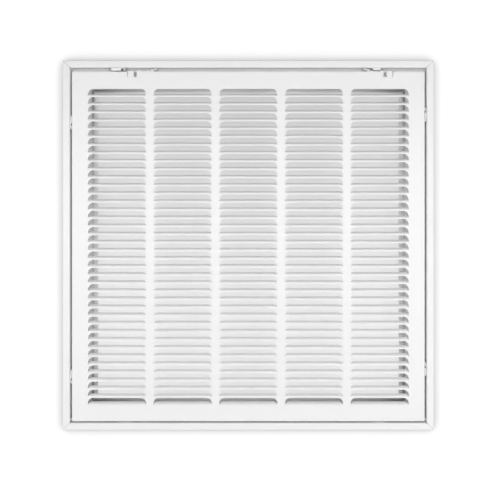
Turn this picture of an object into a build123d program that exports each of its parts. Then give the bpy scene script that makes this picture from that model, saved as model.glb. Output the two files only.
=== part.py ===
"""Return air filter grille for a 20 by 20 inch duct opening, in millimetres.

A mitred frame of four folded strips lines the opening and holds a filter behind a louvred door.
The door turns on two pins near its bottom edge and is held at its top edge by two sliding latches.
+X is to the right, +Y into the wall and +Z up. The origin is the centre of the wall plane.
"""

import os
from math import cos, pi, radians, sin

from build123d import *

# Driving dimensions of the frame
overall_width = 571.5
overall_height = 569.0
flange_width = 10.9
flange_stand = 10.5
frame_sheet = 0.8
ledge_width = 23.35
collar_depth = 33.0
back_lip = 9.0
flange_bend = 2.2

# Mounting screws through the ledge, two on each side, each beside a raised boss in the door gap
screw_hole = 4.4
screw_inset = 3.0
boss_length = 24.0
boss_height = 6.0
boss_lead = 8.0
boss_corner_share = 0.6
boss_relief = 5.2

# How far the bosses reach into the gap: less where the latch tongues pass and where the door's foot turns
boss_reach_top = 1.2
boss_reach_side = 2.4
boss_reach_bottom = 0.7

# Screw places along each strip, counted counter-clockwise as seen from the room
screws_top = (-191.0, 194.5)
screws_right = (-187.6, 206.0)
screws_bottom = (-186.0, 205.0)
screws_left = (-186.0, 207.0)

# Corner keys that join the strips inside the hollow flange
key_arm = 38.0
key_width = 6.4
key_sheet = 1.5

# Driving dimensions of the door
side_gap = 3.2
top_gap = 6.3
bottom_gap = 2.4
door_sheet = 0.8
door_setback = 1.0
door_return = 6.0
door_bend = 1.2
side_margin = 24.6

# Louvres: each is lanced from the sheet on three sides and bent back about its lower edge
columns = 5
rows = 39
row_pitch = 12.525
rib_height = 2.8
mullion_width = 11.5
top_margin = 26.5
louvre_angle = 24.0
louvre_depth = 9.2
louvre_corner = 8.2
corner_flats = 2
louvre_tip_cut = 4.5

# Hinge at the foot of the door
pin_radius = 1.5
pin_length = 9.6
pin_head_radius = 2.0
pin_head = 0.8
pin_fit = 0.05
hinge_play = 0.2
hinge_up = 2.8
hinge_back = 3.2

# Sliding latches on the door's top edge, at rest in the released place
latch_left_x = -180.7
latch_right_x = 217.5
latch_travel = 4.4
latch_sheet = 0.8
latch_play = 0.1
plate_width = 4.0
plate_inset = 1.0
plate_outer_end = 7.0
plate_inner_end = 34.0
tab_width = 9.0
tab_hang = 11.5
tab_corner = 3.0
tab_play = 0.2
tongue_width = 4.0
tongue_height = 3.8
tongue_back = 4.1
strap_width = 4.0
strap_stop = 1.0
notch_depth = 8.3
notch_play = 0.3
keeper_width = 5.0
keeper_hang = 3.4
keeper_play = 0.6

# Sizes worked out from the driving dimensions
half_width = overall_width / 2
half_height = overall_height / 2
recess_half_width = half_width - flange_width
recess_half_height = half_height - flange_width
door_width = 2 * (recess_half_width - side_gap)
door_height = 2 * recess_half_height - top_gap - bottom_gap
door_top = recess_half_height - top_gap
door_bottom = door_top - door_height
door_middle = (door_top + door_bottom) / 2
door_face = door_setback - flange_stand
window_height = row_pitch - rib_height
window_width = (door_width - 2 * side_margin - (columns - 1) * mullion_width) / columns
column_pitch = window_width + mullion_width
field_height = (rows - 1) * row_pitch + window_height
field_middle = door_top - top_margin - field_height / 2
hinge_y = door_face + hinge_back
hinge_z = door_bottom + hinge_up
plate_bottom = door_top + latch_play
plate_top = plate_bottom + latch_sheet
strap_top = plate_top + latch_play + door_sheet
plate_y = door_face + plate_inset + plate_width / 2
strap_places = (
    tab_width / 2 + latch_travel + strap_stop + strap_width / 2,
    plate_inner_end - tongue_width - strap_stop - strap_width / 2,
)
tab_front = door_face - tab_play - latch_sheet
tongue_y = door_face + tongue_back
keeper_y = tongue_y - keeper_play - frame_sheet

# Each latch by its resting place and the way it slides to lock
latches = ((latch_left_x, 1), (latch_right_x, -1))

os.makedirs("parts", exist_ok=True)


def save(piece, name):
    """Label a finished piece and write it to its own file."""
    piece.label = name
    export_step(piece, f"parts/{name}.step")


def strip_plane(outward):
    """Plane across one frame strip: local x points outward, local y into the wall."""
    return Plane(origin=(0, 0, 0), x_dir=outward, z_dir=outward.cross(Vector(0, 1, 0)))


def strip_point(plane, out, depth, along):
    """A point given by its distance outward, its depth and its place along a strip."""
    return plane.from_local_coords(Vector(out, depth, along))


def frame_strip(outward, half_out, half_along, screws, boss_reach, keepers=(), pin_hole=None):
    """One folded strip of the frame, mitred at both ends.

    The sheet runs from the wall up the outer edge, over the flange, down the recess wall, in along
    the ledge, back along the collar and ends in the lip that stops the filter.
    """
    across = strip_plane(outward)
    recess = half_out - flange_width
    collar = recess - ledge_width - frame_sheet
    front_of_ledge = -frame_sheet
    front_of_lip = collar_depth - frame_sheet
    with BuildPart() as strip:
        with BuildSketch(across):
            with BuildLine():
                FilletPolyline(
                    (half_out, 0),
                    (half_out, -flange_stand),
                    (recess, -flange_stand),
                    (recess, front_of_ledge),
                    radius=flange_bend,
                )
                Polyline(
                    (recess, front_of_ledge),
                    (collar, front_of_ledge),
                    (collar, front_of_lip),
                    (collar - back_lip, front_of_lip),
                )
                offset(amount=frame_sheet, side=Side.RIGHT, kind=Kind.INTERSECTION)
            make_face()
        extrude(amount=half_along, both=True)

        # Screw bosses in the corner of ledge and recess wall, open beside the screw, then the screw holes
        ledge_face = Plane(
            origin=strip_point(across, 0, front_of_ledge, 0), x_dir=outward, z_dir=(0, -1, 0)
        )
        with BuildSketch(ledge_face):
            for place in screws:
                with Locations((recess - boss_reach / 2, place - boss_length / 2 + boss_lead)):
                    Rectangle(boss_reach, boss_length)
                with Locations((recess - boss_reach / 2, place)):
                    Rectangle(boss_reach, boss_relief, mode=Mode.SUBTRACT)
            inner = [v for v in vertices() if ledge_face.to_local_coords(v).X < recess - boss_reach / 2]
            chamfer(inner, boss_corner_share * boss_reach)
        extrude(amount=boss_height)
        with Locations(ledge_face):
            with Locations(*[(recess - screw_inset, place) for place in screws]):
                Hole(screw_hole / 2)

        # Keeper lugs that hang from the recess wall in front of the latch tongues
        for place in keepers:
            lug_face = Plane(
                origin=strip_point(across, recess - keeper_hang / 2, keeper_y, place),
                x_dir=outward,
                z_dir=(0, 1, 0),
            )
            with BuildSketch(lug_face):
                Rectangle(keeper_hang, keeper_width)
            extrude(amount=frame_sheet)

        if pin_hole is not None:
            depth, along = pin_hole
            wall_face = Plane(origin=strip_point(across, recess, depth, along), z_dir=-outward)
            with BuildSketch(wall_face):
                Circle(pin_radius + pin_fit)
            extrude(amount=-2 * frame_sheet, mode=Mode.SUBTRACT)

        for end in (1, -1):
            along = across.z_dir * end
            corner = outward * half_out + along * half_along
            split(bisect_by=Plane(origin=corner, z_dir=outward - along), keep=Keep.TOP)
    return strip.part


def corner_key(side, level):
    """An L plate under the flange that ties two mitred strips at one corner."""
    edge = (flange_width - key_width) / 2
    corner = Vector(side * (half_width - edge), frame_sheet - flange_stand, level * (half_height - edge))
    face = Plane(origin=corner, x_dir=(-side, 0, 0), z_dir=(0, -side * level, 0))
    with BuildPart() as key:
        with BuildSketch(face):
            Rectangle(key_arm, key_width, align=Align.MIN)
            Rectangle(key_width, key_arm, align=Align.MIN)
        extrude(amount=-side * level * key_sheet)
    return key.part


def hinge_pins():
    """Two headed pins, each from the hollow flange through the recess wall into the door."""
    with BuildPart() as pins:
        for side in (-1, 1):
            seat = Plane(
                origin=(side * (recess_half_width + frame_sheet), hinge_y, hinge_z),
                z_dir=(-side, 0, 0),
            )
            with BuildSketch(seat):
                Circle(pin_radius)
            extrude(amount=pin_length)
            with BuildSketch(seat):
                Circle(pin_head_radius)
            extrude(amount=-pin_head)
    return pins.part


def lanced_outline(width, depth, corner, flats):
    """Points round a shape with two square lower corners and two rounded upper ones.

    The lower edge lies on the local x axis. Each rounded corner is a quarter circle drawn as a few
    flats, which keeps the many louvres light.
    """
    right = [
        (
            width / 2 - corner + corner * sin(pi / 2 * (1 - step / flats)),
            depth - corner + corner * cos(pi / 2 * (1 - step / flats)),
        )
        for step in range(flats + 1)
    ]
    left = [(-x, z) for x, z in reversed(right)]
    return [(-width / 2, 0), (width / 2, 0), *right, *left]


def louvre():
    """One louvre, bent back and up from the lower edge of its window."""
    tilt = radians(louvre_angle)
    blade = Plane(origin=(0, 0, 0), x_dir=(1, 0, 0), z_dir=(0, -sin(tilt), cos(tilt)))
    with BuildPart() as fin:
        with BuildSketch(blade):
            with BuildLine():
                Polyline(
                    *lanced_outline(window_width, louvre_depth, louvre_tip_cut, 1), close=True
                )
            make_face()
        extrude(amount=-door_sheet)
    return fin.part


def door_panel():
    """The stamped door: a shallow pan with returns, louvres, latch notches and hinge holes."""
    face = Plane(origin=(0, door_face, door_middle), x_dir=(1, 0, 0), z_dir=(0, -1, 0))
    field = Plane(origin=(0, door_face, field_middle), x_dir=(1, 0, 0), z_dir=(0, -1, 0))
    notch_width = tab_width + latch_travel + 2 * notch_play
    with BuildPart() as door:
        with BuildSketch(face):
            Rectangle(door_width, door_height)
        extrude(amount=-door_return)
        fillet(faces().sort_by(Axis.Y)[0].edges(), door_bend)
        with BuildSketch(face.offset(-door_sheet)):
            Rectangle(door_width - 2 * door_sheet, door_height - 2 * door_sheet)
        extrude(amount=door_sheet - door_return, mode=Mode.SUBTRACT)

        # Notches in the top edge for the latch tabs, and straps lanced up over each latch plate
        for place, inward in latches:
            with BuildSketch(face):
                with Locations((place + inward * latch_travel / 2, door_height / 2 - notch_depth / 2)):
                    Rectangle(notch_width, notch_depth)
            extrude(amount=-2 * door_bend, mode=Mode.SUBTRACT)
            for reach in strap_places:
                with BuildSketch(Plane.YZ.offset(place + inward * reach)):
                    with Locations((door_face, door_top - door_sheet)):
                        Rectangle(door_return, strap_top - door_top + door_sheet, align=Align.MIN)
                    with Locations((door_face + door_sheet, door_top)):
                        Rectangle(
                            door_return - 2 * door_sheet,
                            strap_top - door_sheet - door_top,
                            align=Align.MIN,
                            mode=Mode.SUBTRACT,
                        )
                extrude(amount=strap_width / 2, both=True)

        # Holes for the hinge pins, through both side returns
        with BuildSketch(Plane.YZ):
            with Locations((hinge_y, hinge_z)):
                Circle(pin_radius + hinge_play)
        extrude(amount=door_width, both=True, mode=Mode.SUBTRACT)

        # Windows, all in one cut
        with BuildSketch(field):
            with GridLocations(column_pitch, row_pitch, columns, rows):
                with BuildLine(mode=Mode.PRIVATE) as outline:
                    Polyline(
                        *lanced_outline(window_width, window_height, louvre_corner, corner_flats),
                        close=True,
                    )
                with Locations((0, -window_height / 2)):
                    add(make_face(outline.edges(), mode=Mode.PRIVATE))
        extrude(amount=-door_sheet, mode=Mode.SUBTRACT)

        # Louvres, one under each window
        with Locations(field):
            with GridLocations(column_pitch, row_pitch, columns, rows):
                with Locations((0, -window_height / 2, 0)):
                    add(louvre(), rotation=(-90, 0, 0))
    return door.part


def latch_slide(place, inward):
    """A latch slide: a plate on the door's top edge, a thumb tab and a tongue turned up."""
    top = Plane.XY.offset(plate_bottom)
    length = plate_outer_end + plate_inner_end
    with BuildPart() as slide:
        with BuildSketch(top):
            with Locations((place + inward * (plate_inner_end - plate_outer_end) / 2, plate_y)):
                Rectangle(length, plate_width)
            with Locations((place, (tab_front + plate_y) / 2)):
                Rectangle(tab_width, plate_y - tab_front)
        extrude(amount=latch_sheet)

        # Thumb tab, folded down over the face and rounded at its end
        with BuildSketch(Plane(origin=(place, tab_front, plate_top), x_dir=(1, 0, 0), z_dir=(0, -1, 0))):
            with Locations((0, -(tab_hang + plate_top - door_top) / 2)):
                tab = Rectangle(tab_width, tab_hang + plate_top - door_top)
            fillet(tab.vertices().group_by(Axis.Z)[0], tab_corner)
        extrude(amount=-latch_sheet)

        # Tongue at the inner end
        tongue_x = place + inward * (plate_inner_end - tongue_width / 2)
        with BuildSketch(top):
            with Locations((tongue_x, tongue_y + latch_sheet / 2)):
                Rectangle(tongue_width, latch_sheet)
        extrude(amount=latch_sheet + tongue_height)
    return slide.part


right, up = Vector(1, 0, 0), Vector(0, 0, 1)


def keeper_place(place, inward):
    """Where a keeper's middle lies in X: just past the tongue of the released latch."""
    return place + inward * (plate_inner_end + keeper_play + keeper_width / 2)


keeper_x = [keeper_place(place, inward) for place, inward in latches]
along_top = strip_plane(up).z_dir.X
along_right = strip_plane(right).z_dir.Z
along_bottom = strip_plane(-up).z_dir.X
along_left = strip_plane(-right).z_dir.Z

save(
    frame_strip(
        up,
        half_height,
        half_width,
        screws_top,
        boss_reach_top,
        keepers=[along_top * x for x in keeper_x],
    ),
    "frame_top",
)
save(frame_strip(-up, half_height, half_width, screws_bottom, boss_reach_bottom), "frame_bottom")
save(
    frame_strip(
        right,
        half_width,
        half_height,
        screws_right,
        boss_reach_side,
        pin_hole=(hinge_y, along_right * hinge_z),
    ),
    "frame_right",
)
save(
    frame_strip(
        -right,
        half_width,
        half_height,
        screws_left,
        boss_reach_side,
        pin_hole=(hinge_y, along_left * hinge_z),
    ),
    "frame_left",
)

for level_name, level in (("top", 1), ("bottom", -1)):
    for side_name, side in (("left", -1), ("right", 1)):
        save(corner_key(side, level), f"corner_key_{level_name}_{side_name}")

save(door_panel(), "door_panel")

save(hinge_pins(), "hinge_pins")
for side_name, (place, inward) in zip(("left", "right"), latches):
    save(latch_slide(place, inward), f"latch_slide_{side_name}")
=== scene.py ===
"""Return air filter grille in white baked enamel, seen straight on against a pale backdrop.

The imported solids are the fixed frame. The louvred door, the four mitred strips of the wall frame and
the thumb latches are rebuilt here as fine sheet-metal meshes in the places of their solids. Lengths in
the classes are millimetres in the frame's own axes: +X right, +Y into the wall, +Z up.
"""

import logging
import math
from collections.abc import Callable
from dataclasses import dataclass, field
from enum import Enum

import bmesh
import bpy
import numpy as np
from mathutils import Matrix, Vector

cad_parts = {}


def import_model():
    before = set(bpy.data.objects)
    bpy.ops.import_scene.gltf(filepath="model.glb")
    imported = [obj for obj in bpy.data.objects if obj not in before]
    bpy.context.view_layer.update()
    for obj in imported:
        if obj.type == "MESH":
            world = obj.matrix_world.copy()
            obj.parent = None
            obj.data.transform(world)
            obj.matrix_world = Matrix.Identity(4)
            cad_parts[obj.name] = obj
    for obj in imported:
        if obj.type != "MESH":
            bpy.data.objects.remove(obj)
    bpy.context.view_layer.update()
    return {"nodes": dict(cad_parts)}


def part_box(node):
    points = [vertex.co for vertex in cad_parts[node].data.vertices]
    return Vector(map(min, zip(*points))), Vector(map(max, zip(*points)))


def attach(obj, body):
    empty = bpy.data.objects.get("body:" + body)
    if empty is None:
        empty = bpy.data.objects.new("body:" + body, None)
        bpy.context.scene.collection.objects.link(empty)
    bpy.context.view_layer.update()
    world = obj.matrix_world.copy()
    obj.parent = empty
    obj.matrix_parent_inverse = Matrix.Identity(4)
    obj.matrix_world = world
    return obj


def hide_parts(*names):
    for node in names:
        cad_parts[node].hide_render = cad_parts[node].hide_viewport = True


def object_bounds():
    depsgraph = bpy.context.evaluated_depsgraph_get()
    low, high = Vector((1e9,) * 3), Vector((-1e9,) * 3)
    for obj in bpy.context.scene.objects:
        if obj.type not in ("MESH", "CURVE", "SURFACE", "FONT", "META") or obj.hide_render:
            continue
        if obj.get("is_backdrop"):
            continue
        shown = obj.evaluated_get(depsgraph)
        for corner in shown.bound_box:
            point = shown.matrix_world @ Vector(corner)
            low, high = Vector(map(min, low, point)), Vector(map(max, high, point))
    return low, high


MM = 0.001
WELD_STEP = 0.0005
SHARP_ANGLE = math.radians(32)
AREA_WEIGHT = 100
CUT_STEP = 1e-7
Value = bpy.types.NodeSocket | float
Place = tuple[float, float, float]
Quads = np.ndarray  # loose four-cornered faces in millimetres, of shape (faces, 4, 3)
log = logging.getLogger("grille")


class Slot(Enum):
    """Material slots of the record. No piece in this script takes its finish from them."""

    ENAMEL = "enamel"
    ZINC = "zinc"


class Side(Enum):
    """The four strips of the wall frame, each by the direction that points away from the middle."""

    TOP = (0, 0, 1)
    RIGHT = (1, 0, 0)
    BOTTOM = (0, 0, -1)
    LEFT = (-1, 0, 0)

    @property
    def outward(self) -> np.ndarray:
        """Direction from the middle of the grille to the strip."""
        return np.array(self.value, float)

    @property
    def along(self) -> np.ndarray:
        """Direction along the strip, counter-clockwise as seen from the room."""
        return np.cross(self.outward, (0.0, 1.0, 0.0))

    @property
    def node(self) -> str:
        """Name of the strip's solid."""
        return f"frame_{self.name.lower()}"


# Mesh tools


def weld(quads: Quads) -> tuple[np.ndarray, np.ndarray]:
    """Turn loose faces into shared points and indices.

    Corners that round to the same step of a fine lattice become one point.

    Args:
        quads: the faces.

    Returns:
        The points, and one row of four indices for each face.
    """
    corners = quads.reshape(-1, 3)
    keys = np.round(corners / WELD_STEP).astype(np.int64)
    _, first, inverse = np.unique(keys, axis=0, return_index=True, return_inverse=True)
    return corners[first], inverse.reshape(-1, 4)


def grid_quads(points: np.ndarray) -> Quads:
    """Faces of a grid of points, whose outer side is columns crossed with rows.

    Args:
        points: array of shape (rows, columns, axes), with two or three axes.

    Returns:
        Array of shape (faces, 4, axes).
    """
    cells = np.stack([points[:-1, :-1], points[:-1, 1:], points[1:, 1:], points[1:, :-1]], axis=2)
    return cells.reshape(-1, 4, points.shape[-1])


def surface_quads(x: np.ndarray, y: np.ndarray | float, z: np.ndarray | float) -> Quads:
    """Faces of a surface from its three coordinates over one grid, of which some may vary one way only."""
    return grid_quads(np.stack(np.broadcast_arrays(x, y, z), axis=2))


def box_quads(low: Place, high: Place) -> Quads:
    """Six outward faces of an upright box between two corners.

    Args:
        low: the corner with the least x, y and z.
        high: the corner opposite to it.

    Returns:
        The faces.
    """
    x, y, z = zip(low, high)
    corner = np.array([(x[i], y[j], z[k]) for i in (0, 1) for j in (0, 1) for k in (0, 1)], float)
    sides = [(0, 1, 3, 2), (4, 6, 7, 5), (0, 4, 5, 1), (2, 3, 7, 6), (0, 2, 6, 4), (1, 5, 7, 3)]
    return corner[np.array(sides)]


def flat_quad(low: Place, high: Place) -> Quads:
    """One face between two opposite corners that share a depth or a level."""
    return np.array([[low, (high[0], *low[1:]), high, (low[0], *high[1:])]], float)


def mesh_piece(name: str, quads: Quads) -> bpy.types.Object:
    """Make an object at the origin from loose faces.

    Args:
        name: the object's name.
        quads: the faces, of which those without area are left out.

    Returns:
        The object, linked to the scene.
    """
    points, faces = weld(quads)
    alive = [len(set(face)) > 2 for face in faces.tolist()]
    mesh = bpy.data.meshes.new(name)
    mesh.from_pydata((points * MM).tolist(), [], [tidy_face(f) for f in faces[alive].tolist()])
    mesh.update()
    piece = bpy.data.objects.new(name, mesh)
    bpy.context.scene.collection.objects.link(piece)
    return piece


def tidy_face(face: list[int]) -> list[int]:
    """Drop a corner that repeats the one before it, which a pole of a grid leaves."""
    return [corner for i, corner in enumerate(face) if corner != face[i - 1]]


def thicken(piece: bpy.types.Object, sheet: float) -> None:
    """Give a sheet surface its thickness in millimetres, away from the side that its faces point to."""
    wall = piece.modifiers.new("sheet thickness", "SOLIDIFY")
    wall.thickness = sheet * MM
    wall.offset = -1.0
    wall.use_even_offset = True
    wall.use_quality_normals = True


def settle(piece: bpy.types.Object) -> None:
    """Apply the modifiers, mark sharp edges by angle and weight the normals by face area."""
    replace_mesh(piece)
    piece.data.shade_smooth()
    piece.data.set_sharp_from_angle(angle=SHARP_ANGLE)
    weights = piece.modifiers.new("flat faces stay flat", "WEIGHTED_NORMAL")
    weights.keep_sharp = True
    weights.weight = AREA_WEIGHT
    replace_mesh(piece)


def replace_mesh(piece: bpy.types.Object) -> None:
    """Swap an object's mesh for the one that its modifiers make, and clear them."""
    graph = bpy.context.evaluated_depsgraph_get()
    made = bpy.data.meshes.new_from_object(piece.evaluated_get(graph), depsgraph=graph)
    old = piece.data
    piece.modifiers.clear()
    piece.data = made
    made.name = piece.name
    bpy.data.meshes.remove(old)


def closed_piece(name: str, quads: Quads) -> bpy.types.Object:
    """Make an object of closed bodies whose faces all point outwards.

    Args:
        name: the object's name.
        quads: the faces, in any winding.

    Returns:
        The object, linked to the scene.
    """
    piece = mesh_piece(name, quads)
    shell = bmesh.new()
    shell.from_mesh(piece.data)
    bmesh.ops.recalc_face_normals(shell, faces=shell.faces)
    shell.to_mesh(piece.data)
    shell.free()
    return piece


def combine(piece: bpy.types.Object, other: bpy.types.Object, operation: str) -> None:
    """Join a second body to a piece or cut it away, and remove it.

    Args:
        piece: the object that is changed.
        other: the object that is used up.
        operation: UNION or DIFFERENCE.
    """
    boolean = piece.modifiers.new(operation.lower(), "BOOLEAN")
    boolean.operation = operation
    boolean.solver = "EXACT"
    boolean.object = other
    replace_mesh(piece)
    mesh = other.data
    bpy.data.objects.remove(other)
    bpy.data.meshes.remove(mesh)


def bent_path(corners: list[tuple[float, float]], radii: list[float], steps: int) -> np.ndarray:
    """A line through corners with each one rounded to an arc.

    An arc of radius r at a turn of angle a starts and ends r * tan(a / 2) from its corner, and its
    centre lies at r from both runs.

    Args:
        corners: the corners in order, the two ends included.
        radii: one radius for each inner corner.
        steps: flats in each arc.

    Returns:
        Array of shape (points, 2).
    """
    line = [np.array(corners[0], float)]
    for before, corner, after, radius in zip(corners, corners[1:], corners[2:], radii):
        corner = np.array(corner, float)
        into = corner - before
        into /= np.linalg.norm(into)
        out = after - corner
        out /= np.linalg.norm(out)
        turn = math.acos(np.clip(into @ out, -1, 1))
        side = np.sign(into[0] * out[1] - into[1] * out[0])
        normal = side * np.array((-into[1], into[0]))
        start = corner - into * radius * math.tan(turn / 2)
        angles = np.linspace(0, turn, steps + 1)[:, None]
        line.extend(start + radius * (np.sin(angles) * into + (1 - np.cos(angles)) * normal))
    line.append(np.array(corners[-1], float))
    return np.array(line)


# Finishes


class Tree:
    """A node tree with short calls to place and join its nodes."""

    def __init__(self, tree: bpy.types.NodeTree) -> None:
        """Hold the tree."""
        self.tree = tree

    def node(self, kind: str, **values: object) -> bpy.types.Node:
        """Place a node of a type and set its properties by name."""
        made = self.tree.nodes.new(kind)
        for name, value in values.items():
            setattr(made, name, value)
        return made

    def feed(self, node: bpy.types.Node, values: dict[str | int, Value | tuple[float, ...]]) -> None:
        """Give a node's inputs their values.

        Args:
            node: the node.
            values: for an input's name or number, the socket it is joined to or else its value.
        """
        for name, value in values.items():
            if isinstance(value, bpy.types.NodeSocket):
                self.tree.links.new(value, node.inputs[name])
            else:
                node.inputs[name].default_value = value

    def math(self, operation: str, first: Value, second: Value = 0.0) -> bpy.types.NodeSocket:
        """Place a math node.

        Args:
            operation: the node's operation.
            first: a socket or a number.
            second: a socket or a number, which an operation on one value leaves aside.

        Returns:
            The socket with the result.
        """
        made = self.node("ShaderNodeMath", operation=operation)
        self.feed(made, {0: first, 1: second})
        return made.outputs[0]


class CoatGroups:
    """Shader node groups that the finishes share, each built once."""

    grain_share: float = 0.35
    peel_detail: float = 2.0
    grain_detail: float = 1.0
    mottle_detail: float = 3.0
    fold_samples: int = 8
    _made: dict[str, bpy.types.NodeTree] = {}

    @classmethod
    def sprayed_coat(cls) -> bpy.types.NodeTree:
        """The fine orange peel and the soft unevenness of a sprayed, baked coat, with painted shade in its
        folds.

        Two noises make the relief: a broad one for the flow of the paint and a fine one for its
        grain. A third, slow noise varies colour and gloss a little over the panel. Painted shade
        darkens the folds: the colour is multiplied by the share of free space round a point, to a power.

        Returns:
            The group, with Color, Roughness and Height outputs.
        """
        if "sprayed coat" in cls._made:
            return cls._made["sprayed coat"]
        group = bpy.data.node_groups.new("sprayed coat", "ShaderNodeTree")
        scales = ("Peel Scale", "Grain Scale", "Mottle Scale")
        amounts = ("Mottle", "Base Roughness", "Roughness Swing", "Dust", "Painted Shade Reach")
        inputs = {"Coat Color": "Color", **dict.fromkeys(scales + amounts, "Float")}
        outputs = {"Color": "Color", "Roughness": "Float", "Height": "Float"}
        for way, sockets in (("INPUT", inputs), ("OUTPUT", outputs)):
            for name, kind in sockets.items():
                group.interface.new_socket(name=name, in_out=way, socket_type=f"NodeSocket{kind}")
        tree = Tree(group)
        given = tree.node("NodeGroupInput")
        result = tree.node("NodeGroupOutput")
        place = tree.node("ShaderNodeTexCoord")

        def noise(scale: str, detail: float) -> bpy.types.NodeSocket:
            """A noise on the object's own coordinates, at one of the group's scales, with its octaves."""
            made = tree.node("ShaderNodeTexNoise")
            source = {"Vector": place.outputs["Object"], "Scale": given.outputs[scale], "Detail": detail}
            tree.feed(made, source)
            return made.outputs["Fac"]

        peel = noise("Peel Scale", cls.peel_detail)
        grain = noise("Grain Scale", cls.grain_detail)
        mottle = tree.math("SUBTRACT", noise("Mottle Scale", cls.mottle_detail), 0.5)
        relief = tree.math("ADD", peel, tree.math("MULTIPLY", grain, cls.grain_share))
        shade = tree.math("ADD", 1.0, tree.math("MULTIPLY", mottle, given.outputs["Mottle"]))
        # Painted shade: the colour darkens where folds, creases and recesses hem the surface in.
        folds = tree.node("ShaderNodeAmbientOcclusion", samples=cls.fold_samples, only_local=True)
        tree.feed(folds, {"Distance": given.outputs["Painted Shade Reach"]})
        dust = tree.math("POWER", folds.outputs["AO"], given.outputs["Dust"])
        shade = tree.math("MULTIPLY", shade, dust)
        tint = tree.node("ShaderNodeVectorMath", operation="SCALE")
        tree.feed(tint, {0: given.outputs["Coat Color"], "Scale": shade})
        swing = tree.math("MULTIPLY", mottle, given.outputs["Roughness Swing"])
        gloss = tree.math("ADD", given.outputs["Base Roughness"], swing)
        tree.feed(result, {"Color": tint.outputs[0], "Roughness": gloss, "Height": relief})
        cls._made["sprayed coat"] = group
        return group


@dataclass(frozen=True)
class Finish:
    """A finish whose colour and gloss vary a little over the piece, by the sprayed coat's group."""

    name: str
    color: tuple[float, float, float]
    roughness: float
    swing: float
    mottle: float
    mottle_scale: float

    def detail(self, tree: Tree, coat: bpy.types.Node, shader: bpy.types.Node) -> None:
        """Set what only this finish has.

        Args:
            tree: the material's tree.
            coat: the node of the sprayed coat.
            shader: the material's Principled shader.
        """
        raise NotImplementedError

    def build(self) -> bpy.types.Material:
        """Make the material.

        Returns:
            The material.
        """
        material = bpy.data.materials.new(self.name)
        material.use_nodes = True
        tree = Tree(material.node_tree)
        shader = material.node_tree.nodes["Principled BSDF"]
        coat = tree.node("ShaderNodeGroup", node_tree=CoatGroups.sprayed_coat())
        values = {
            "Coat Color": (*self.color, 1.0),
            "Mottle Scale": self.mottle_scale,
            "Mottle": self.mottle,
            "Base Roughness": self.roughness,
            "Roughness Swing": self.swing,
        }
        tree.feed(coat, values)
        tree.feed(shader, {"Base Color": coat.outputs["Color"], "Roughness": coat.outputs["Roughness"]})
        self.detail(tree, coat, shader)
        return material


@dataclass(frozen=True)
class Enamel(Finish):
    """White baked enamel on sheet steel, with painted shade in its folds. Its depths and reaches are in
    metres.
    """

    name: str = "white baked enamel"
    color: tuple[float, float, float] = (0.9, 0.9, 0.9)
    roughness: float = 0.42
    swing: float = 0.10
    mottle: float = 0.02
    mottle_scale: float = 9.0
    peel_scale: float = 420.0
    grain_scale: float = 1500.0
    relief: float = 0.08
    relief_depth: float = 0.0004
    # Powers of the painted shade in the folds: on the face, in the bay behind it and towards the bay's
    # corners, and its reach.
    dust: float = 0.0
    bay_painted_shade: float = 0.0
    corner_painted_shade: float = 0.0
    bay_depth: float = 0.010
    corner_half: float = 0.245
    corner_power: float = 4.0
    painted_shade_reach: float = 0.006

    def painted_shade_power(self, tree: Tree) -> bpy.types.NodeSocket:
        """How strongly the painted shade in the folds shows, by the place on the grille.

        It changes from the value in front of the wall face to the value in the bay behind it. There it
        also grows towards the four corners, with a power of |x z| over the square of a corner's x.

        Args:
            tree: the material's tree.

        Returns:
            The socket with the power.
        """
        place = tree.node("ShaderNodeTexCoord")
        axes = tree.node("ShaderNodeSeparateXYZ")
        tree.feed(axes, {0: place.outputs["Object"]})
        depth = tree.node("ShaderNodeMapRange")
        tree.feed(depth, {"Value": axes.outputs["Y"], "From Max": self.bay_depth})
        area = tree.math("MULTIPLY", axes.outputs["X"], axes.outputs["Z"])
        share = tree.math("DIVIDE", tree.math("ABSOLUTE", area), self.corner_half**2)
        corner = tree.math("MULTIPLY", tree.math("POWER", share, self.corner_power), self.corner_painted_shade)
        change = tree.math("ADD", corner, self.bay_painted_shade - self.dust)
        return tree.math("ADD", self.dust, tree.math("MULTIPLY", depth.outputs["Result"], change))

    def detail(self, tree: Tree, coat: bpy.types.Node, shader: bpy.types.Node) -> None:
        """Add the painted shade in the folds and the coat's relief."""
        tree.feed(coat, {"Peel Scale": self.peel_scale, "Grain Scale": self.grain_scale})
        tree.feed(coat, {"Painted Shade Reach": self.painted_shade_reach, "Dust": self.painted_shade_power(tree)})
        bump = tree.node("ShaderNodeBump")
        relief = {"Strength": self.relief, "Distance": self.relief_depth, "Height": coat.outputs["Height"]}
        tree.feed(bump, relief)
        tree.feed(shader, {"Normal": bump.outputs["Normal"]})


@dataclass(frozen=True)
class Zinc(Finish):
    """Zinc plating on pins and corner keys, with a faint spangle."""

    name: str = "zinc plating"
    color: tuple[float, float, float] = (0.62, 0.63, 0.65)
    roughness: float = 0.36
    swing: float = 0.25
    mottle: float = 0.25
    mottle_scale: float = 260.0

    def detail(self, tree: Tree, coat: bpy.types.Node, shader: bpy.types.Node) -> None:
        """Make it metal, without the coat's relief."""
        tree.feed(shader, {"Metallic": 1.0})


def dress(piece: bpy.types.Object, material: bpy.types.Material) -> None:
    """Put one material on all of a piece."""
    piece.data.materials.clear()
    piece.data.materials.append(material)


# The door


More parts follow.
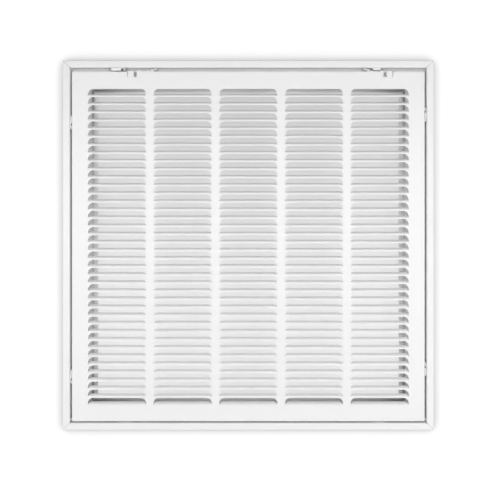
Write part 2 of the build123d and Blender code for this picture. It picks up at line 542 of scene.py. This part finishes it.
@dataclass
class LouvredDoor:
    """The stamped door panel: a shallow pan with rows of lanced louvres and two latch notches."""

    enamel: bpy.types.Material
    sheet: float = 0.8
    edge_bend: float = 0.8
    bend_steps: int = 4
    return_depth: float = 6.0
    strap_rise: float = 1.8
    side_margin: float = 24.6
    top_margin: float = 26.5
    columns: int = 5
    rows: int = 39
    row_pitch: float = 12.525
    rib: float = 2.8
    mullion: float = 11.5
    corner: float = 8.2
    corner_steps: int = 6
    crease: float = -1.9
    tongue: float = 7.6
    curl: tuple[tuple[float, float], ...] = ((0.0, 0.0), (3.2, 52.0), (7.6, 70.0))
    curl_steps: tuple[float, ...] = (0.0, 0.65, 1.3, 1.95, 2.6, 3.2)
    curl_samples: int = 400
    lip: float = 0.6
    notches: tuple[tuple[float, float], ...] = ((-186.4, -171.5), (208.3, 223.2))
    notch_depth: float = 8.3
    notch_reach: float = 2.4
    straps: tuple[float, ...] = (-168.8, -153.7, 205.6, 190.5)
    strap_width: float = 4.0
    strap_bend: float = 1.0
    strap_bend_steps: int = 5

    def __post_init__(self) -> None:
        """Read the door's outline from its solid and work out the louvre field."""
        low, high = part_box("door_panel")
        self.left, self.right = low.x / MM, high.x / MM
        self.bottom, self.top = low.z / MM, high.z / MM - self.strap_rise
        self.face = low.y / MM
        width = self.right - self.left
        spare = width - 2 * self.side_margin - (self.columns - 1) * self.mullion
        self.window = spare / self.columns
        self.pitch = self.window + self.mullion
        self.opening = self.row_pitch - self.rib

    def outline_arc(self, steps: int, height: float) -> np.ndarray:
        """The right upper corner of a window or tongue as a quarter circle, from side to top.

        Args:
            steps: flats in the quarter circle.
            height: level of the straight top edge.

        Returns:
            Array of (half width, level) rows.
        """
        angle = np.linspace(0, math.pi / 2, steps + 1)
        half = self.window / 2 - self.corner + self.corner * np.cos(angle)
        level = height - self.corner + self.corner * np.sin(angle)
        return np.column_stack([half, level])

    def cell_columns(self) -> np.ndarray:
        """Places across a window, from its middle, that the sheet below it and the tongue share."""
        arc = self.outline_arc(self.corner_steps, self.opening)[:, 0]
        half = np.concatenate([[self.window / 2], arc[self.corner_steps // 2 + 1 :]])
        return np.sort(np.concatenate([-half, half]))

    def tongue_quads(self) -> Quads:
        """The louvre tongue as a curling, tapering strip.

        Its section starts in the plane of the sheet. The angle by which it has turned back grows in
        straight runs with the distance travelled, as the curl table says, so depth is the integral
        of the angle's sine and rise that of its cosine. The half width is the window's, and follows
        a quarter circle towards the tip, as the tongue was cut from the window.

        Returns:
            The faces.
        """
        total = self.tongue
        tip = self.outline_arc(self.corner_steps, total)
        travel = np.unique(np.concatenate([self.curl_steps, tip[tip[:, 1] > self.curl_steps[-1], 1]]))
        fine = np.linspace(0, total, self.curl_samples)
        knots, turns = np.array(self.curl).T
        angle = np.radians(np.interp(fine, knots, turns))
        step = fine[1]
        back = np.interp(travel, fine, np.cumsum(np.sin(angle)) * step)
        rise = self.crease + np.interp(travel, fine, np.cumsum(np.cos(angle)) * step)
        corner = min(self.corner, total)
        past = np.clip(travel - (total - corner), 0, corner)
        half = self.window / 2 - corner + np.sqrt(corner**2 - past**2)
        across = self.cell_columns() / (self.window / 2)
        x = half[:, None] * across[None, :]
        return surface_quads(x, back[:, None] - back[0], rise[:, None] - rise[0] + self.crease)

    def cell_levels(self) -> np.ndarray:
        """Levels, from the window's lower edge, at which one louvre cell meets its neighbours."""
        arc = self.outline_arc(self.corner_steps, self.opening)[: self.corner_steps // 2 + 1, 1]
        foot, head = self.lip - self.rib, self.opening + self.lip
        return np.concatenate([[foot, self.crease], arc, [head]])

    def cell_quads(self) -> Quads:
        """The sheet round one window, with its tongue, round the middle of the window's lower edge.

        The sheet is bands between two lines of points: beside the window from its outline out to the
        cell's side, above its rounded corners up to the cell's head, and one band over the straight
        part of the top and one under the tongue. The left half mirrors the right.

        Returns:
            The faces.
        """
        half, half_cell = self.window / 2, self.pitch / 2
        foot, head = self.cell_levels()[[0, -1]]
        arc = self.outline_arc(self.corner_steps, self.opening)
        middle = self.corner_steps // 2
        inner = np.vstack([[(half, foot), (half, self.crease)], arc[: middle + 1], [(half, head)]])
        outer = np.column_stack([np.full(len(inner), half_cell), inner[:, 1]])
        corner = arc[middle:]
        above = np.column_stack([np.append(half, corner[1:, 0]), np.full(len(corner), head)])
        bands = ((inner, outer), (corner, above))
        right = np.concatenate([grid_quads(np.stack(band, axis=1)) for band in bands])
        left = right[:, ::-1] * (-1, 1)
        tip = arc[-1, 0]
        crown = np.stack(np.meshgrid([-tip, tip], [self.opening, head]), axis=2)
        lower = np.stack(np.meshgrid(self.cell_columns(), [foot, self.crease]), axis=2)
        flat = np.concatenate([right, left, grid_quads(crown), grid_quads(lower)])
        sheet = np.stack([flat[..., 0], np.zeros(flat.shape[:2]), flat[..., 1]], axis=2)
        return np.concatenate([sheet, self.tongue_quads()])

    def field_quads(self) -> Quads:
        """All louvre cells, each a copy of one cell moved by its column and row.

        Returns:
            The faces.
        """
        x, z = np.meshgrid(self.column_places(), self.row_places())
        moves = np.column_stack([x.ravel(), np.full(x.size, self.face), z.ravel()])
        cells = self.cell_quads()[None] + moves[:, None, None, :]
        return cells.reshape(-1, 4, 3)

    def column_places(self) -> np.ndarray:
        """Middle of each column of windows."""
        return (self.left + self.right) / 2 + self.pitch * (np.arange(self.columns) - (self.columns - 1) / 2)

    def row_places(self) -> np.ndarray:
        """Level of the lower edge of each row's windows, from the lowest up."""
        highest = self.top - self.top_margin - self.opening
        return highest - self.row_pitch * np.arange(self.rows)[::-1]

    def border_loop(self) -> tuple[np.ndarray, tuple[float, float, float, float]]:
        """The border of the louvre field.

        Returns:
            Its points as (x, z) rows, counter-clockwise, and its limits: left, right, bottom and top.
        """
        half_cell = self.pitch / 2
        across = np.concatenate([[-half_cell], self.cell_columns(), [half_cell]])
        x = np.unique(np.round((self.column_places()[:, None] + across).ravel(), 6))
        z = np.unique(np.round((self.row_places()[:, None] + self.cell_levels()).ravel(), 6))
        lower = np.column_stack([x[:-1], np.full(len(x) - 1, z[0])])
        right = np.column_stack([np.full(len(z) - 1, x[-1]), z[:-1]])
        upper = np.column_stack([x[:0:-1], np.full(len(x) - 1, z[-1])])
        left = np.column_stack([np.full(len(z) - 1, x[0]), z[:0:-1]])
        return np.concatenate([lower, right, upper, left]), (x[0], x[-1], z[0], z[-1])

    def pan_quads(self) -> Quads:
        """The margins, bent edges and returns, as rings that grow from the louvre field.

        Each ring is the field's border pushed out to a larger rectangle. The rings past the flat
        margin follow a quarter circle back, and the last lies at the returns' free edge.

        Returns:
            The faces.
        """
        loop, (x_low, x_high, z_low, z_high) = self.border_loop()
        angle = np.linspace(0, math.pi / 2, self.bend_steps + 1)
        inset = np.concatenate([self.edge_bend * (1 - np.sin(angle)), [0]])
        back = np.concatenate([self.edge_bend * (1 - np.cos(angle)), [self.return_depth]])
        rings = [np.column_stack([loop[:, 0], np.full(len(loop), self.face), loop[:, 1]])]
        for step, deep in zip(inset, back):
            x = np.where(loop[:, 0] == x_low, self.left + step, loop[:, 0])
            x = np.where(loop[:, 0] == x_high, self.right - step, x)
            z = np.where(loop[:, 1] == z_low, self.bottom + step, loop[:, 1])
            z = np.where(loop[:, 1] == z_high, self.top - step, z)
            rings.append(np.column_stack([x, np.full(len(loop), self.face + deep), z]))
        closed = [np.vstack([ring, ring[:1]]) for ring in rings]
        return grid_quads(np.array(closed[::-1]))

    def cut_notches(self, piece: bpy.types.Object) -> None:
        """Cut the latch notches out of the top edge, with clean edges all round.

        Args:
            piece: the door panel, still a sheet without thickness.
        """
        mesh = bmesh.new()
        mesh.from_mesh(piece.data)
        floor = (self.top - self.notch_depth) * MM
        reach = (self.face + self.notch_reach) * MM
        for low, high in np.array(self.notches) * MM:
            cuts = (
                ((low, 0, 0), (1, 0, 0)),
                ((high, 0, 0), (1, 0, 0)),
                ((0, 0, floor), (0, 0, 1)),
                ((0, reach, 0), (0, 1, 0)),
            )
            for place, normal in cuts:
                faces = [
                    f
                    for f in mesh.faces
                    if max(v.co.z for v in f.verts) > floor
                    and max(v.co.x for v in f.verts) > low
                    and min(v.co.x for v in f.verts) < high
                ]
                parts = {v for f in faces for v in f.verts} | {e for f in faces for e in f.edges}
                bmesh.ops.bisect_plane(
                    mesh, geom=[*parts, *faces], dist=CUT_STEP, plane_co=place, plane_no=normal
                )
            inside = [
                f
                for f in mesh.faces
                if low < f.calc_center_median().x < high
                and f.calc_center_median().z > floor
                and f.calc_center_median().y < reach
            ]
            bmesh.ops.delete(mesh, geom=inside, context="FACES")
        mesh.to_mesh(piece.data)
        mesh.free()

    def strap_quads(self) -> Quads:
        """The straps over the latch plates: bent strips from the front edge over to the back.

        Returns:
            The faces.
        """
        high = self.top + self.strap_rise
        front, back = self.face, self.face + self.return_depth
        foot = self.top - self.sheet
        corners = [(front, foot), (front, high), (back, high), (back, foot)]
        line = bent_path(corners, [self.strap_bend, self.strap_bend], self.strap_bend_steps)
        strips = []
        for place in self.straps:
            x = np.array([[place - self.strap_width / 2, place + self.strap_width / 2]])
            strips.append(surface_quads(x, line[:, :1], line[:, 1:]))
        return np.concatenate(strips)

    def build(self) -> list[bpy.types.Object]:
        """Build the panel and its straps in the place of the door's solid.

        Returns:
            The two objects.
        """
        panel = mesh_piece("louvred_door", np.concatenate([self.field_quads(), self.pan_quads()]))
        self.cut_notches(panel)
        straps = mesh_piece("latch_straps", self.strap_quads())
        for piece in (panel, straps):
            thicken(piece, self.sheet)
            settle(piece)
            dress(piece, self.enamel)
            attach(piece, "door")
        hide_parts("door_panel")
        return [panel, straps]


# The wall frame


@dataclass(frozen=True)
class Boss:
    """A raised pad beside one screw hole, by its run along the strip and its reach from the wall."""

    screw: float
    low: float
    high: float
    reach: float


@dataclass
class WallFrame:
    """Four folded strips with mitred corners that line the duct opening."""

    enamel: bpy.types.Material
    sheet: float = 0.8
    flange: float = 10.9
    ledge: float = 23.35
    lip: float = 9.0
    flange_bend: float = 1.4
    inner_bend: float = 0.6
    collar_bend: float = 1.2
    bend_steps: int = 6
    mitre_gap: float = 0.9
    inner_mitre_gap: float = 0.04
    screw_radius: float = 2.2
    screw_inset: float = 3.0
    cutter_front: float = 1.5
    cutter_back: float = 2.0
    round_steps: int = 32
    boss_height: float = 8.0
    boss_slices: int = 24
    boss_steps: int = 8
    root: float = 0.2
    keeper_hang: float = 3.4
    keeper_width: float = 5.0
    keeper_front: float = -6.8
    keepers: tuple[float, ...] = (-143.6, 180.4)
    bosses: dict[Side, tuple[Boss, Boss]] = field(
        default_factory=lambda: {
            Side.TOP: (Boss(-191.0, -206.0, -188.2, 3.4), Boss(194.5, 189.5, 213.5, 4.2)),
            Side.RIGHT: (Boss(-187.6, -203.6, -179.6, 2.8), Boss(206.0, 190.0, 214.0, 2.8)),
            Side.BOTTOM: (Boss(-186.0, -202.0, -178.0, 0.7), Boss(205.0, 189.0, 213.0, 0.7)),
            Side.LEFT: (Boss(-186.0, -202.0, -178.0, 2.8), Boss(207.0, 191.0, 215.0, 2.8)),
        }
    )

    def __post_init__(self) -> None:
        """Read the frame's outline from its solids."""
        low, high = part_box("frame_top")
        _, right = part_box("frame_right")
        self.half_height = high.z / MM
        self.half_width = right.x / MM
        self.front = low.y / MM
        self.back = high.y / MM

    def half_out(self, side: Side) -> float:
        """Distance from the middle to a strip's outer edge."""
        return self.half_width if side in (Side.LEFT, Side.RIGHT) else self.half_height

    def section(self, side: Side) -> np.ndarray:
        """The visible face of a strip across its length.

        Args:
            side: the strip.

        Returns:
            Array of (outward, depth) rows, from the flange's outer edge to the lip.
        """
        out = self.half_out(side)
        recess = out - self.flange
        collar = recess - self.ledge - self.sheet
        ledge, stop = -self.sheet, self.back - self.sheet
        corners = [(out, 0.0), (out, self.front), (recess, self.front), (recess, ledge), (collar, ledge)]
        corners += [(collar, stop), (collar - self.lip, stop)]
        radii = [self.flange_bend, self.flange_bend, self.inner_bend, self.collar_bend, self.inner_bend]
        return bent_path(corners, radii, self.bend_steps)

    def place(self, side: Side, out: np.ndarray, deep: np.ndarray, along: np.ndarray) -> np.ndarray:
        """Points of a strip in the grille's axes.

        Args:
            side: the strip.
            out: distances outward from the middle.
            deep: depths, as many.
            along: places along the strip, as many.

        Returns:
            The given shape with x, y and z as one more axis.
        """
        return (
            out[..., None] * side.outward
            + deep[..., None] * np.array((0.0, 1.0, 0.0))
            + along[..., None] * side.along
        )

    def strip_quads(self, side: Side) -> Quads:
        """The section carried along the strip between its two mitres.

        At each end the strip stops where its distance along equals the other strips' distance
        outward, less half the mitre gap. The gap is wide on the flange and all but closed behind it.

        Args:
            side: the strip.

        Returns:
            The faces.
        """
        line = self.section(side)
        other = self.half_height if side in (Side.LEFT, Side.RIGHT) else self.half_width
        on_flange = line[:, 0] > self.half_out(side) - self.flange - WELD_STEP
        gap = np.where(on_flange, self.mitre_gap, self.inner_mitre_gap)
        end = other - (self.half_out(side) - line[:, 0]) - gap / 2
        out, deep = (np.column_stack([column, column]) for column in line.T)
        return grid_quads(self.place(side, out, deep, np.column_stack([-end, end])))

    def boss_quads(self, side: Side, boss: Boss) -> Quads:
        """A rounded boss in the corner of ledge and recess wall, beside one screw hole.

        Across the strip it is a quarter of a squircle, and both its reach and its height shrink to
        nothing at the ends as the fourth root of 1 - a to the fourth, where a runs from -1 to 1.

        Args:
            side: the strip.
            boss: the boss's sizes.

        Returns:
            The faces.
        """
        run = np.sin(np.linspace(-math.pi / 2, math.pi / 2, self.boss_slices + 1))
        swell = (1 - run**4) ** 0.25
        angle = np.linspace(0, math.pi / 2, self.boss_steps + 1)
        root, reach, height = -self.root, boss.reach, self.boss_height
        shape_out = np.concatenate([[reach], np.cos(angle) ** 0.5 * reach, [root, root]])
        shape_up = np.concatenate([[root], np.sin(angle) ** 0.5 * height, [height, root]])
        recess = self.half_out(side) - self.flange
        out = recess - swell[:, None] * shape_out[None, :]
        deep = -self.sheet - swell[:, None] * shape_up[None, :]
        middle, half = (boss.low + boss.high) / 2, (boss.high - boss.low) / 2
        along = np.broadcast_to((middle + run * half)[:, None], out.shape)
        ring = self.place(side, out, deep, along)
        return grid_quads(np.concatenate([ring, ring[:, :1]], axis=1))

    def hole_cutter(self, side: Side) -> bpy.types.Object:
        """Round cutters for a strip's screw holes.

        Args:
            side: the strip.

        Returns:
            One object of closed prisms.
        """
        turn = np.linspace(0, 2 * math.pi, self.round_steps + 1)
        middle = self.half_out(side) - self.flange - self.screw_inset
        rows = []
        for boss in self.bosses[side]:
            for radius in (0.0, self.screw_radius):
                out = middle + radius * np.cos(turn)
                along = boss.screw + radius * np.sin(turn)
                for level in (self.front + self.cutter_front, self.cutter_back):
                    rows.append(self.place(side, out, np.full(out.shape, level), along))
        rings = np.array(rows).reshape(-1, 4, len(turn), 3)[:, [0, 2, 3, 1]]
        return closed_piece("hole cutter", np.concatenate([grid_quads(ring) for ring in rings]))

    def additions(self, side: Side) -> bpy.types.Object:
        """The bosses of a strip, and the keeper lugs of the top one.

        Args:
            side: the strip.

        Returns:
            One object of closed bodies, which reach into the sheet by the root.
        """
        quads = [self.boss_quads(side, boss) for boss in self.bosses[side]]
        if side is Side.TOP:
            recess = self.half_height - self.flange
            for middle in self.keepers:
                low = (middle - self.keeper_width / 2, self.keeper_front, recess - self.keeper_hang)
                high = (middle + self.keeper_width / 2, self.keeper_front + self.sheet, recess + self.root)
                quads.append(box_quads(low, high))
        return closed_piece("additions", np.concatenate(quads))

    def build(self) -> list[bpy.types.Object]:
        """Build the four strips, each in the place of its solid.

        Returns:
            The four objects.
        """
        strips = []
        for side in Side:
            strip = mesh_piece(f"wall_{side.node}", self.strip_quads(side))
            thicken(strip, self.sheet)
            replace_mesh(strip)
            combine(strip, self.additions(side), "UNION")
            combine(strip, self.hole_cutter(side), "DIFFERENCE")
            settle(strip)
            dress(strip, self.enamel)
            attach(strip, "frame")
            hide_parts(side.node)
            strips.append(strip)
        return strips


# The latches


@dataclass
class ThumbLatch:
    """A latch slide: a plate on the door's top edge with a thumb tab and an upturned tongue.

    Inward is the way along x in which it slides to lock.
    """

    enamel: bpy.types.Material
    hand: str
    place: float
    inward: int
    sheet: float = 0.8
    plate_front: float = -8.5
    plate_back: float = -4.5
    outer_end: float = 7.0
    inner_end: float = 34.0
    tab_width: float = 9.0
    tab_bend: float = 1.2
    tab_corner: float = 3.0
    tab_steps: int = 6
    tongue_width: float = 4.0
    tongue_back: float = -4.6
    tongue_height: float = 3.8
    root: float = 0.1
    worn_edge: float = 0.12

    def __post_init__(self) -> None:
        """Read the slide's limits from its solid."""
        low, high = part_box(f"latch_slide_{self.hand}")
        self.front = low.y / MM
        self.tab_foot = low.z / MM
        self.tongue_top = high.z / MM
        self.level = self.tongue_top - self.tongue_height

    def strip(self, line: np.ndarray, half: np.ndarray, middle: float) -> Quads:
        """A strip of changing width along a line.

        Args:
            line: (depth, level) rows.
            half: half the width at each row.
            middle: the strip's place along x.

        Returns:
            The faces.
        """
        x = middle + half[:, None] * np.array([-1.0, -0.5, 0.5, 1.0])
        return surface_quads(x, line[:, :1], line[:, 1:])

    def tab_quads(self) -> Quads:
        """The thumb tab: over the front edge, down the face, and rounded at its foot.

        Returns:
            The faces.
        """
        angle = np.linspace(0, math.pi / 2, self.tab_steps + 1)
        foot = self.tab_foot + self.tab_corner * (1 - np.cos(angle))
        half_foot = self.tab_width / 2 - self.tab_corner * (1 - np.sin(angle))
        corners = [(self.front, foot[-1]), (self.front, self.level), (self.plate_front, self.level)]
        upper = bent_path(corners, [self.tab_bend], self.tab_steps)[1:]
        line = np.vstack([np.column_stack([np.full(foot.shape, self.front), foot]), upper])
        half = np.concatenate([half_foot, np.full(len(upper), self.tab_width / 2)])
        return self.strip(line, half, self.place)

    def plate_quads(self) -> tuple[Quads, Quads]:
        """The plate with its tongue turned up at the inner end.

        Returns:
            The faces of the plate's sheet and those of the tongue's closed body.
        """
        end = self.place + self.inward * self.inner_end
        ends = sorted((self.place - self.inward * self.outer_end, end))
        x, y = np.meshgrid(ends, [self.plate_front, self.plate_back])
        plate = surface_quads(x, y, self.level)
        left, right = sorted((end - self.inward * self.tongue_width, end))
        low = (left, self.tongue_back - self.sheet, self.level - self.root)
        return plate, box_quads(low, (right, self.tongue_back, self.tongue_top))

    def build(self) -> bpy.types.Object:
        """Build the slide in the place of its solid.

        Returns:
            The object.
        """
        plate, tongue = self.plate_quads()
        piece = mesh_piece(f"thumb_latch_{self.hand}", np.concatenate([self.tab_quads(), plate]))
        thicken(piece, self.sheet)
        replace_mesh(piece)
        combine(piece, closed_piece("tongue", tongue), "UNION")
        rounding = piece.modifiers.new("worn edges", "BEVEL")
        rounding.width = self.worn_edge * MM
        rounding.segments = 2
        rounding.limit_method = "ANGLE"
        settle(piece)
        dress(piece, self.enamel)
        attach(piece, f"latch_{self.hand}")
        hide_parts(f"latch_slide_{self.hand}")
        return piece


# The studio


@dataclass
class Studio:
    """A pale floor and backdrop, soft lamps and the camera of the photograph."""

    backdrop_place: float = 120.0
    backdrop_half: float = 1500.0
    backdrop_glow: float = 1.0
    wall_gap: float = 0.3
    wall_margin: float = 45.0
    opening_half: float = 256.0
    duct_gap: float = 0.5
    duct_half: float = 246.0
    floor_drop: float = 165.0
    floor_reach: float = 2500.0
    camera_x: float = 2.6
    camera_z: float = -7.4
    camera_distance: float = 957.0
    focal_pixels: float = 621.5
    frame_pixels: float = 500.0
    paper: float = 0.4
    floor_paper: float = 0.9
    glow: float = 0.7
    shadow_samples: int = 16
    shadow_reach: float = 30.0
    shadow_power: float = 1.5
    duct_paper: float = 0.45
    duct_light: float = 0.52
    duct_fall: float = 0.24
    duct_sides: float = 0.07
    world: float = 0.12
    lamps: tuple[tuple[str, Place, tuple[float, float], float], ...] = (
        ("front bar", (0.0, -950.0, 150.0), (2000.0, 350.0), 6.8),
        ("left strip", (-1100.0, -1150.0, -300.0), (500.0, 900.0), 5.6),
        ("right strip", (1100.0, -1150.0, -300.0), (500.0, 900.0), 6.5),
        ("rear fill", (0.0, 1900.0, 700.0), (1800.0, 1800.0), 6.0),
    )

    def paper_material(self, name: str, shade: float, glow: Callable[[Tree], Value]) -> bpy.types.Material:
        """Matt paper that shows from its front only, so that views from behind see all of the grille.

        Lamp light passes through it too, so the back of the grille isn't dark.

        Args:
            name: the material's name.
            shade: how much light the paper gives back.
            glow: builds, in the material's tree, the light that only camera and mirror rays see on
                top of that.

        Returns:
            The material.
        """
        paper = bpy.data.materials.new(name)
        paper.use_nodes = True
        tree = Tree(paper.node_tree)
        paper.node_tree.nodes.clear()
        matt = tree.node("ShaderNodeBsdfDiffuse")
        tree.feed(matt, {"Color": (shade, shade, shade, 1)})
        light = tree.node("ShaderNodeEmission")
        path = tree.node("ShaderNodeLightPath")
        direct = tree.math("MAXIMUM", path.outputs["Is Camera Ray"], path.outputs["Is Glossy Ray"])
        tree.feed(light, {"Strength": tree.math("MULTIPLY", direct, glow(tree))})
        both = tree.node("ShaderNodeAddShader")
        tree.feed(both, {0: matt.outputs[0], 1: light.outputs[0]})
        clear = tree.node("ShaderNodeBsdfTransparent")
        side = tree.node("ShaderNodeNewGeometry")
        mix = tree.node("ShaderNodeMixShader")
        open_way = tree.math("MAXIMUM", side.outputs["Backfacing"], path.outputs["Is Shadow Ray"])
        tree.feed(mix, {0: open_way, 1: both.outputs[0], 2: clear.outputs[0]})
        tree.feed(tree.node("ShaderNodeOutputMaterial"), {"Surface": mix.outputs[0]})
        return paper

    def floor_glow(self, tree: Tree) -> float:
        """The same glow all over the floor."""
        return self.glow

    def white_glow(self, tree: Tree) -> float:
        """White all over the backdrop."""
        return self.backdrop_glow

    def wall_glow(self, tree: Tree) -> bpy.types.NodeSocket:
        """A painted shadow round the frame: the wall's glow, held back where the frame stands close in front
        of it.
        """
        near = tree.node("ShaderNodeAmbientOcclusion", samples=self.shadow_samples)
        tree.feed(near, {"Distance": self.shadow_reach * MM})
        free = tree.math("POWER", near.outputs["AO"], self.shadow_power)
        return tree.math("MULTIPLY", free, self.glow)

    def duct_glow(self, tree: Tree) -> bpy.types.NodeSocket:
        """The light seen through the louvres: weaker towards the top, stronger towards both sides."""
        place = tree.node("ShaderNodeTexCoord")
        axes = tree.node("ShaderNodeSeparateXYZ")
        tree.feed(axes, {0: place.outputs["Object"]})
        fall = tree.node("ShaderNodeMapRange")
        source = {"From Min": -self.duct_half * MM / 2, "From Max": self.duct_half * MM}
        tree.feed(fall, {"Value": axes.outputs["Z"], **source})
        tree.feed(fall, {"To Min": self.duct_light, "To Max": self.duct_light - self.duct_fall})
        share = tree.math("DIVIDE", axes.outputs["X"], self.duct_half * MM)
        sides = tree.math("MULTIPLY", tree.math("MULTIPLY", share, share), self.duct_sides)
        return tree.math("ADD", fall.outputs["Result"], sides)

    def build_stage(self) -> None:
        """Put a strip of wall round the frame and a lining behind the collar, then backdrop and floor."""
        low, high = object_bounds()
        ground = low.z / MM - self.floor_drop
        wide, reach, duct = self.backdrop_half, self.floor_reach, self.duct_half
        far, back = self.backdrop_place, high.y / MM + self.duct_gap
        square = np.array([(-1, -1), (1, -1), (1, 1), (-1, 1), (-1, -1)], float)
        outer = square * (high.x / MM + self.wall_margin, high.z / MM + self.wall_margin)
        ring = np.stack([outer, square * self.opening_half])
        wall = surface_quads(ring[..., 0], self.wall_gap, ring[..., 1])
        backdrop = flat_quad((-wide, far, ground), (wide, far, wide))
        lining = flat_quad((-duct, back, -duct), (duct, back, duct))
        floor = flat_quad((-reach, -reach, ground), (reach, reach, ground))
        for name, quads, shade, glow in (
            ("backdrop", backdrop, self.paper, self.white_glow),
            ("wall", wall, self.paper, self.wall_glow),
            ("duct lining", lining, self.duct_paper, self.duct_glow),
            ("floor", floor, self.floor_paper, self.floor_glow),
        ):
            sheet = mesh_piece(name, quads)
            dress(sheet, self.paper_material(f"{name} paper", shade, glow))
            sheet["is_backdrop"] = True

    def build_lamps(self) -> None:
        """Hang the soft boxes, each aimed at the middle of the grille, and light the world."""
        for name, place, (wide, high), power in self.lamps:
            data = bpy.data.lights.new(name, "AREA")
            data.shape = "RECTANGLE"
            data.size, data.size_y = wide * MM, high * MM
            data.energy = power
            lamp = bpy.data.objects.new(name, data)
            bpy.context.scene.collection.objects.link(lamp)
            lamp.location = [c * MM for c in place]
            lamp.rotation_mode = "QUATERNION"
            lamp.rotation_quaternion = (-lamp.location).to_track_quat("-Z", "Y")
        world = bpy.data.worlds.new("white room")
        world.use_nodes = True
        tree = Tree(world.node_tree)
        path = tree.node("ShaderNodeLightPath")
        seen = tree.math("MULTIPLY", path.outputs["Is Camera Ray"], 1 - self.world)
        strength = tree.math("ADD", seen, self.world)
        tree.feed(world.node_tree.nodes["Background"], {"Color": (1, 1, 1, 1), "Strength": strength})
        bpy.context.scene.world = world

    def build_camera(self) -> None:
        """Set the camera where the photograph was taken, square to the face."""
        low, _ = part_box("door_panel")
        data = bpy.data.cameras.new("camera")
        data.sensor_width = 36.0
        data.lens = data.sensor_width * self.focal_pixels / self.frame_pixels
        data.clip_start, data.clip_end = 0.05, 50.0
        camera = bpy.data.objects.new("camera", data)
        bpy.context.scene.collection.objects.link(camera)
        camera.location = (self.camera_x * MM, low.y - self.camera_distance * MM, self.camera_z * MM)
        camera.rotation_euler = (math.pi / 2, 0, 0)
        bpy.context.scene.camera = camera

    def build(self) -> None:
        """Build stage, lamps and camera, with colours shown as they are written."""
        self.build_stage()
        self.build_lamps()
        self.build_camera()
        bpy.context.scene.view_settings.view_transform = "Standard"


def main() -> None:
    """Build the grille round its frame, then the studio, and log each rebuilt piece's face count."""
    logging.basicConfig(level=logging.INFO, format="%(name)s %(message)s")
    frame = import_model()
    # Both enamels carry painted shade in their folds. The frame's has more of it, most of all towards the
    # bay's corners.
    enamel = Enamel(dust=0.25, bay_painted_shade=0.25).build()
    zinc = Zinc().build()
    painted_shade_enamel = Enamel(
        name="white baked enamel, painted shade in folds", dust=1.2, bay_painted_shade=0.6, corner_painted_shade=1.8
    ).build()
    pieces = [*LouvredDoor(enamel).build(), *WallFrame(painted_shade_enamel).build()]
    for hand, place, inward in (("left", -180.7, 1), ("right", 217.5, -1)):
        pieces.append(ThumbLatch(enamel, hand, place, inward).build())
    for piece in pieces:
        log.info("%s: %d faces", piece.name, len(piece.data.polygons))
    for name, node in frame["nodes"].items():
        if name.startswith(("corner_key", "hinge_pin")):
            dress(node, zinc)
            log.info("%s keeps its solid", name)
    Studio().build()


if __name__ == "__main__":
    main()
